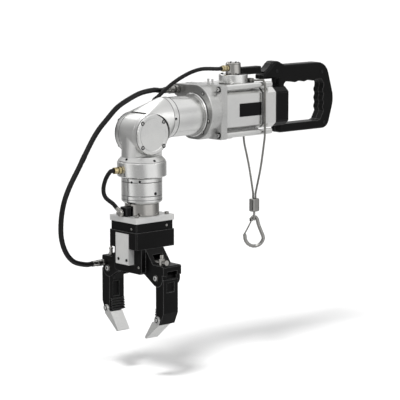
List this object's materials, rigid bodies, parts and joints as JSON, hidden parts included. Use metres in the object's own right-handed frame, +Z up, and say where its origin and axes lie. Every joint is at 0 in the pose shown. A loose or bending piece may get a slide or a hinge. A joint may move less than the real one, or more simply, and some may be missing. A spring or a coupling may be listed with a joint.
{
  "type": "rescue spreader",
  "caption": "Hand-held hydraulic rescue tool: D-handle power unit, arm tube, hinged elbow, turning wrist and two-finger gripper, with hoses and a rope sling with hook.",
  "frame": {"origin": "middle of the rear grip bar of the handle", "axes": "+X from the elbow towards the handle, +Z up, +Y to the side of the long hose"},
  "size_m": [0.8651, 0.242, 0.6753],
  "materials": {
    "silver": "satin silver",
    "nickel": "nickel plated",
    "black_metal": "satin black",
    "black_nylon": "textured black",
    "bare_aluminium": "machined",
    "brass": "pale brass",
    "steel": "galvanised",
    "bronze": "bearing bronze",
    "rubber": "smooth black"
  },
  "bodies": {
    "body": {"elbow_yoke": "silver", "elbow_cover_near": "silver", "elbow_cover_far": "silver", "arm_clamp_ring": "silver", "arm_tube": "silver", "front_head": "silver", "pump_barrel": "silver", "rear_head": "silver", "tie_rod_1": "silver", "tie_rod_2": "silver", "tie_rod_3": "silver", "tie_rod_4": "silver", "valve_base": "silver", "name_plate": "silver", "elbow_shaft": "nickel", "valve_body": "nickel", "drain_plug": "nickel", "front_hose_fitting": "nickel", "handle_shell_near": "black_nylon", "handle_shell_far": "black_nylon", "rear_cap": "black_nylon", "control_conduit": "black_nylon", "valve_hose_fitting": "brass", "arm_hose_fitting": "brass", "sling_lug": "steel", "sling_rope": "steel", "sling_rope_leg": "steel", "sling_ferrule": "steel", "supply_hose": "rubber", "pilot_hose": "rubber"},
    "forearm": {"forearm_knuckle": "silver", "elbow_bush_near": "bronze", "elbow_bush_far": "bronze", "wrist_collar": "silver", "wrist_barrel": "silver", "wrist_bush": "bronze", "collar_fitting": "brass", "wrist_hose": "rubber"},
    "gripper": {"wrist_shaft": "nickel", "mounting_plate": "bare_aluminium", "gripper_neck": "black_metal", "gripper_block": "black_metal", "gripper_frame": "black_metal", "front_cover": "bare_aluminium", "port_block": "black_metal", "banjo_fitting": "nickel", "tee_fitting": "nickel", "bleed_nipple": "nickel", "jaw_hose_fitting": "nickel", "shoulder_pin_left": "nickel", "shoulder_pin_right": "nickel"},
    "piston": {"gripper_piston": "nickel"},
    "finger_left": {"finger_left": "black_metal", "grip_pad_left": "black_metal", "tip_left": "bare_aluminium"},
    "finger_right": {"finger_right": "black_metal", "grip_pad_right": "black_metal", "tip_right": "bare_aluminium"},
    "control": {"control_paddle": "black_nylon"},
    "hook": {"sling_hook": "steel"}
  },
  "joints": [
    {"name": "elbow", "type": "hinge", "parent": "body", "child": "forearm", "pos_m": [-0.6495, 0, -0.0445], "axis": [0, 1, 0], "range_deg": [-10, 90], "deforming": ["supply_hose"]},
    {"name": "wrist", "type": "hinge", "parent": "forearm", "child": "gripper", "pos_m": [-0.6495, 0, -0.2195], "axis": [0, 0, 1], "range_deg": [-45, 45], "deforming": ["wrist_hose", "supply_hose"]},
    {"name": "finger_right_swing", "type": "hinge", "parent": "gripper", "child": "finger_right", "pos_m": [-0.6495, -0.095, -0.3987], "axis": [1, 0, 0], "range_deg": [-8, 20]},
    {"name": "finger_left_swing", "type": "hinge", "parent": "gripper", "child": "finger_left", "pos_m": [-0.6495, 0.095, -0.3987], "axis": [1, 0, 0], "range_deg": [-20, 8]},
    {"name": "piston_slide", "type": "slide", "parent": "gripper", "child": "piston", "axis": [0, 0, 1], "range_m": [-0.0058, 0.0142]},
    {"name": "control_rock", "type": "hinge", "parent": "body", "child": "control", "pos_m": [-0.21994, 0, 0.09193], "axis": [0, 1, 0], "range_deg": [-5, 5], "stiffness_Nm_per_rad": 0.6},
    {"name": "hook_swing", "type": "hinge", "parent": "body", "child": "hook", "pos_m": [-0.2825, -0.025, -0.3025], "axis": [0.6691, 0.7431, 0], "range_deg": [-30, 30]}
  ],
  "couplings": [
    {"joint": "finger_left_swing", "follows": "finger_right_swing", "ratio": -1},
    {"joint": "piston_slide", "follows": "finger_right_swing", "m_per_rad": 0.0401}
  ]
}
